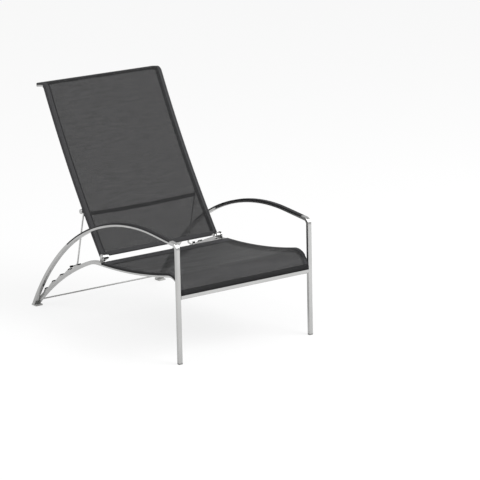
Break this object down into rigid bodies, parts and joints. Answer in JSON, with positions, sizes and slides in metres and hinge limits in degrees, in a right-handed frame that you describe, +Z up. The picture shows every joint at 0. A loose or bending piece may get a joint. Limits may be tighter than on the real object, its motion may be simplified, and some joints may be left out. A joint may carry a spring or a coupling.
{
  "type": "reclining garden armchair",
  "caption": "Reclining outdoor lounge armchair: arched steel side frames, stretched dark mesh seat, bowed mesh back with rolled top, and a rear support bail that stands in toothed racks.",
  "frame": {"origin": "on the floor under the middle of the chair's bounding box", "axes": "+Z up, the chair faces -Y, +X is the sitter's left"},
  "size_m": [0.67, 1.048, 0.9504],
  "materials": {
    "steel_tube": "polished stainless tube with a fine grain",
    "steel_fittings": "satin stainless pins and nuts",
    "black_plastic": "matt black moulded plastic",
    "grey_plastic": "matt grey moulded plastic",
    "mesh_cloth": "dark grey woven coated mesh"
  },
  "bodies": {
    "frame": {"side_frame_left": "steel_tube", "side_frame_right": "steel_tube", "arm_inlay_left": "black_plastic", "arm_inlay_right": "black_plastic", "seat_rail_left": "steel_tube", "seat_rail_right": "steel_tube", "rack_left": "steel_tube", "rack_right": "steel_tube", "notch_liners_left": "black_plastic", "notch_liners_right": "black_plastic", "front_glide_left": "grey_plastic", "front_glide_right": "grey_plastic", "rear_glide_left": "grey_plastic", "rear_glide_right": "grey_plastic", "seat_edge_strip_left": "black_plastic", "seat_edge_strip_right": "black_plastic", "hinge_lug_left": "steel_tube", "hinge_lug_right": "steel_tube", "hinge_pin_left": "steel_fittings", "hinge_pin_right": "steel_fittings", "hinge_nut_left": "steel_fittings", "hinge_nut_right": "steel_fittings", "hinge_washer_left": "black_plastic", "hinge_washer_right": "black_plastic", "front_crossbar": "steel_tube", "rear_seat_crossbar": "steel_tube", "rear_tie_rod": "steel_tube", "seat_cloth": "mesh_cloth"},
    "backrest": {"back_rail_left": "steel_tube", "back_rail_right": "steel_tube", "back_rail_plug_left": "black_plastic", "back_rail_plug_right": "black_plastic", "hinge_knuckle_left": "steel_tube", "hinge_knuckle_right": "steel_tube", "hinge_bush_left": "black_plastic", "hinge_bush_right": "black_plastic", "pivot_ear_left": "steel_tube", "pivot_ear_right": "steel_tube", "bail_pin_left": "steel_fittings", "bail_pin_right": "steel_fittings", "back_top_crossbar": "steel_tube", "back_lower_crossbar": "steel_tube", "back_cloth": "mesh_cloth"},
    "bail": {"strut_left": "steel_tube", "strut_right": "steel_tube", "foot_cap_left": "black_plastic", "foot_cap_right": "black_plastic", "bail_crossbar": "steel_tube"}
  },
  "joints": [
    {"name": "recline", "type": "hinge", "parent": "frame", "child": "backrest", "pos_m": [0, 0.05, 0.303], "axis": [-1, 0, 0], "range_deg": [0, 55]},
    {"name": "bail_swing", "type": "hinge", "parent": "backrest", "child": "bail", "pos_m": [0, 0.20107, 0.46264], "axis": [-1, 0, 0], "range_deg": [-88, 0]}
  ],
  "couplings": [
    {"joint": "bail_swing", "follows": "recline", "ratio": -1.585}
  ]
}
